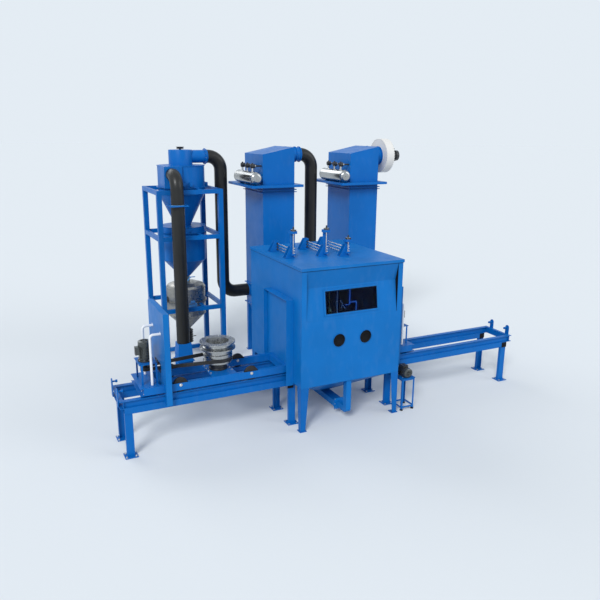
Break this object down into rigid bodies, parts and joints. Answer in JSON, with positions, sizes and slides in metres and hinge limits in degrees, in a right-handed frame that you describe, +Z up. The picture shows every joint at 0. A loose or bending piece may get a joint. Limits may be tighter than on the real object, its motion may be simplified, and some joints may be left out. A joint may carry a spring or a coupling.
{
  "type": "sandblasting cabinet plant",
  "caption": "Through-feed sandblasting cabinet with rail trolleys, turntables, roof gun slides, cyclone tower, blast pot and dust collectors with an exhaust fan.",
  "frame": {"origin": "middle of the plant's outline on the floor", "axes": "+X along the rails, +Y from the operator's side to the dust collectors, +Z up"},
  "size_m": [6.504, 4.076, 3.955],
  "materials": {
    "sky_blue_paint": "satin",
    "pale_blue_paint": "satin",
    "trim_blue_paint": "satin",
    "black_steel": "satin",
    "black_rubber": "matte",
    "duct_brown": "gloss",
    "cream_paint": "satin",
    "grey_motor": "satin",
    "white_paint": "satin",
    "turned_steel": "satin",
    "polished_steel": "polished",
    "dark_glass": "gloss"
  },
  "bodies": {
    "plant": {"front_wall": "sky_blue_paint", "window_panel": "sky_blue_paint", "window_glass": "dark_glass", "panel_seals": "black_rubber", "arm_ports": "trim_blue_paint", "left_wall": "sky_blue_paint", "right_wall": "sky_blue_paint", "back_wall": "sky_blue_paint", "mouth_collars": "sky_blue_paint", "roof": "sky_blue_paint", "cabinet_legs": "pale_blue_paint", "hopper": "sky_blue_paint", "suction_trough": "sky_blue_paint", "track_beams": "pale_blue_paint", "track_legs": "pale_blue_paint", "track_end_stops": "pale_blue_paint", "gun_brackets": "sky_blue_paint", "gun_rods": "turned_steel", "motor_stand": "pale_blue_paint", "stand_motor": "black_steel", "tower_posts": "pale_blue_paint", "tower_beams": "pale_blue_paint", "cyclone": "sky_blue_paint", "cyclone_head": "sky_blue_paint", "separator_hopper": "sky_blue_paint", "blast_pot": "polished_steel", "pot_head": "trim_blue_paint", "pot_valve": "black_steel", "inlet_duct": "duct_brown", "duct_fittings": "sky_blue_paint", "air_ducts": "duct_brown", "left_collector_body": "sky_blue_paint", "left_collector_head": "sky_blue_paint", "right_collector_body": "sky_blue_paint", "right_collector_head": "sky_blue_paint", "air_tanks": "polished_steel", "pulse_valves": "black_steel", "fan_housing": "cream_paint", "fan_motor": "black_steel"},
    "left_trolley": {"left_trolley_frame": "pale_blue_paint", "left_door_panel": "sky_blue_paint", "left_drive_motor": "grey_motor", "left_drive_belt": "black_rubber", "left_push_handles": "white_paint"},
    "left_turntable": {"left_turntable": "turned_steel"},
    "left_outer_wheels": {"left_outer_wheels": "black_rubber"},
    "left_inner_wheels": {"left_inner_wheels": "black_rubber"},
    "right_trolley": {"right_trolley_frame": "pale_blue_paint", "right_door_panel": "sky_blue_paint", "right_drive_motor": "grey_motor", "right_drive_belt": "black_rubber", "right_push_handles": "white_paint"},
    "right_turntable": {"right_turntable": "turned_steel"},
    "right_outer_wheels": {"right_outer_wheels": "black_rubber"},
    "right_inner_wheels": {"right_inner_wheels": "black_rubber"},
    "gun_1_screw": {"gun_screw_1": "turned_steel"},
    "gun_2_screw": {"gun_screw_2": "turned_steel"},
    "gun_3_screw": {"gun_screw_3": "turned_steel"},
    "damper": {"damper_wheel": "black_steel"}
  },
  "joints": [
    {"name": "left_trolley_slide", "type": "slide", "parent": "plant", "child": "left_trolley", "axis": [1, 0, 0], "range_m": [0, 1.609]},
    {"name": "right_trolley_slide", "type": "slide", "parent": "plant", "child": "right_trolley", "axis": [1, 0, 0], "range_m": [0, 1.609]},
    {"name": "left_outer_wheels_roll", "type": "hinge", "parent": "left_trolley", "child": "left_outer_wheels", "pos_m": [-2.45, -1.407, 0.8753], "axis": [0, 1, 0], "continuous": true},
    {"name": "left_inner_wheels_roll", "type": "hinge", "parent": "left_trolley", "child": "left_inner_wheels", "pos_m": [-1.46, -1.407, 0.8753], "axis": [0, 1, 0], "continuous": true},
    {"name": "left_turntable_spin", "type": "hinge", "parent": "left_trolley", "child": "left_turntable", "pos_m": [-1.84, -1.407, 0.9113], "axis": [0, 0, 1], "continuous": true},
    {"name": "right_outer_wheels_roll", "type": "hinge", "parent": "right_trolley", "child": "right_outer_wheels", "pos_m": [0.721, -1.407, 0.8753], "axis": [0, 1, 0], "continuous": true},
    {"name": "right_inner_wheels_roll", "type": "hinge", "parent": "right_trolley", "child": "right_inner_wheels", "pos_m": [-0.269, -1.407, 0.8753], "axis": [0, 1, 0], "continuous": true},
    {"name": "right_turntable_spin", "type": "hinge", "parent": "right_trolley", "child": "right_turntable", "pos_m": [0.111, -1.407, 0.9113], "axis": [0, 0, 1], "continuous": true},
    {"name": "gun_1_screw_turn", "type": "hinge", "parent": "plant", "child": "gun_1_screw", "pos_m": [-0.666, -1.342, 2.733], "axis": [0, 0, 1], "continuous": true},
    {"name": "gun_2_screw_turn", "type": "hinge", "parent": "plant", "child": "gun_2_screw", "pos_m": [-0.171, -1.397, 2.733], "axis": [0, 0, 1], "continuous": true},
    {"name": "gun_3_screw_turn", "type": "hinge", "parent": "plant", "child": "gun_3_screw", "pos_m": [0.129, -1.502, 2.593], "axis": [0, 0, 1], "continuous": true},
    {"name": "damper_turn", "type": "hinge", "parent": "plant", "child": "damper", "pos_m": [-1.458, 1.478, 3.772], "axis": [0, 0, 1], "continuous": true}
  ],
  "couplings": [
    {"joint": "right_trolley_slide", "follows": "left_trolley_slide", "ratio": 1},
    {"joint": "left_outer_wheels_roll", "follows": "left_trolley_slide", "rad_per_m": 10.204},
    {"joint": "left_inner_wheels_roll", "follows": "left_trolley_slide", "rad_per_m": 10.204},
    {"joint": "right_outer_wheels_roll", "follows": "left_trolley_slide", "rad_per_m": 10.204},
    {"joint": "right_inner_wheels_roll", "follows": "left_trolley_slide", "rad_per_m": 10.204}
  ]
}
